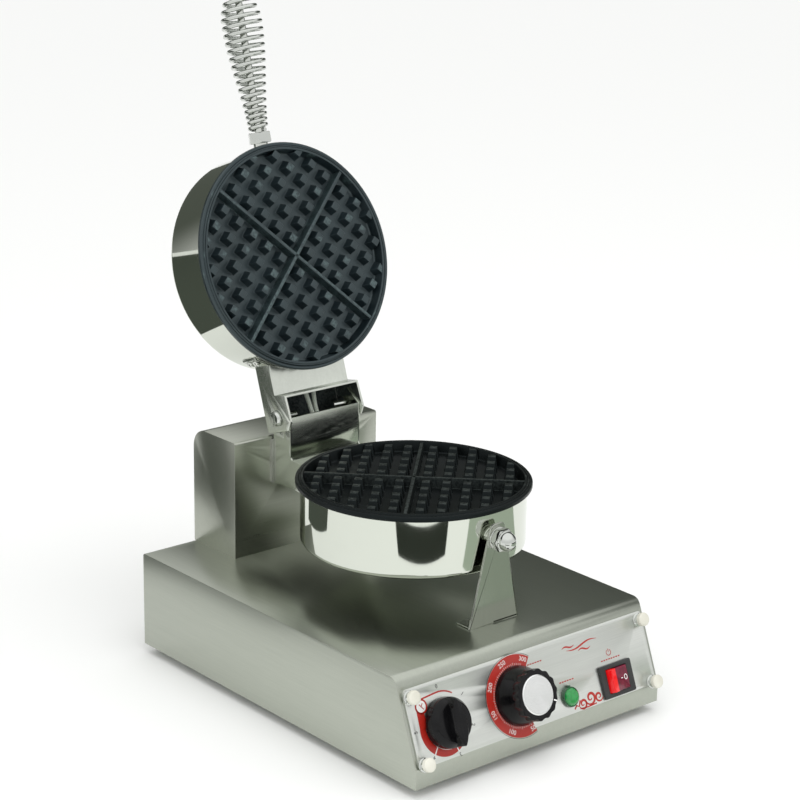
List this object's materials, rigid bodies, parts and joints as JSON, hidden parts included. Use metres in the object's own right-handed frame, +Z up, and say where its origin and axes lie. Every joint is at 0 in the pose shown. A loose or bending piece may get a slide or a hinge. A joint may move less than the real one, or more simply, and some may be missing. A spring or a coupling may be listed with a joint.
{
  "type": "waffle cone maker",
  "caption": "Countertop round waffle baker: steel base with sloping control panel, rear column, fixed lower pan and a hinged upper pan with a coiled-wire handle.",
  "frame": {"origin": "middle of the footprint on the surface that the feet stand on", "axes": "+X to the machine's right as its user sees it, +Y to the back, +Z up; the control panel faces -Y"},
  "size_m": [0.25, 0.4102, 0.5387],
  "materials": {
    "brushed": "brushed sheet stainless",
    "panel": "satin label plate with printed dials",
    "polished": "polished spun stainless",
    "bright": "bright plated steel",
    "nonstick": "cast aluminium with a black non-stick coating",
    "element": "heat-tinted steel",
    "wool": "mineral wool",
    "rubber": "matt black rubber",
    "knob": "glossy black phenolic",
    "cap": "spun aluminium",
    "black_plastic": "black nylon",
    "steel_case": "zinc-plated steel",
    "rocker_red": "translucent red",
    "lens_green": "translucent green",
    "ceramic": "white steatite",
    "sleeve": "braided glass-fibre sleeve"
  },
  "bodies": {
    "base": {"base_shell": "brushed", "bottom_plate": "brushed", "bracket_screws": "bright", "cable_gland": "black_plastic", "column_back_cover": "brushed", "column_shell": "brushed", "control_panel": "panel", "cover_screws": "bright", "foot_screws": "bright", "front_bracket": "brushed", "front_stud": "bright", "gland_nut": "bright", "hinge_back_plate": "brushed", "hinge_bolts": "bright", "lamp_holder": "black_plastic", "lamp_lens": "lens_green", "lamp_nut": "black_plastic", "lower_clamp_bolts": "bright", "lower_clamp_plate": "element", "lower_heater_leads": "sleeve", "lower_heating_element": "element", "lower_hinge_bracket": "brushed", "lower_insulation": "wool", "lower_pan_screws": "bright", "lower_pan_shell": "polished", "lower_waffle_plate": "nonstick", "panel_thumb_screws": "bright", "pivot_nuts": "bright", "pivot_screws": "bright", "rubber_feet": "rubber", "stud_acorn_nut": "bright", "stud_hex_nut": "bright", "stud_spacer": "bright", "stud_washer": "bright", "switch_body": "black_plastic", "terminal_block": "ceramic", "thermostat_body": "steel_case", "thermostat_bulb": "bright", "timer_body": "black_plastic"},
    "lid": {"upper_pan_shell": "polished", "upper_waffle_plate": "nonstick", "upper_heating_element": "element", "upper_clamp_plate": "element", "upper_clamp_bolts": "bright", "upper_insulation": "wool", "lid_arm": "brushed", "arm_screws": "bright", "handle_collar": "bright", "handle_root_nut": "bright", "handle_rod": "bright", "handle_cap_nut": "bright", "handle_coil": "bright", "upper_heater_leads": "sleeve"},
    "timer_dial": {"timer_knob": "knob", "timer_shaft": "bright"},
    "thermostat_dial": {"thermostat_knob": "knob", "thermostat_cap": "cap", "thermostat_shaft": "bright"},
    "rocker": {"switch_rocker": "rocker_red"}
  },
  "joints": [
    {"name": "lid_hinge", "type": "hinge", "parent": "base", "child": "lid", "pos_m": [0, 0.0913, 0.2021], "axis": [1, 0, 0], "range_deg": [0, 109.6]},
    {"name": "timer_turn", "type": "hinge", "parent": "base", "child": "timer_dial", "pos_m": [-0.091, -0.17599, 0.04816], "axis": [0, 0.9316, -0.3634], "range_deg": [-46, 270]},
    {"name": "thermostat_turn", "type": "hinge", "parent": "base", "child": "thermostat_dial", "pos_m": [-0.0175, -0.17581, 0.04862], "axis": [0, 0.9316, -0.3634], "range_deg": [0, 265]},
    {"name": "switch_rock", "type": "hinge", "parent": "base", "child": "rocker", "pos_m": [0.082, -0.18146, 0.03687], "axis": [0, -0.3634, -0.9316], "range_deg": [0, 18]}
  ]
}
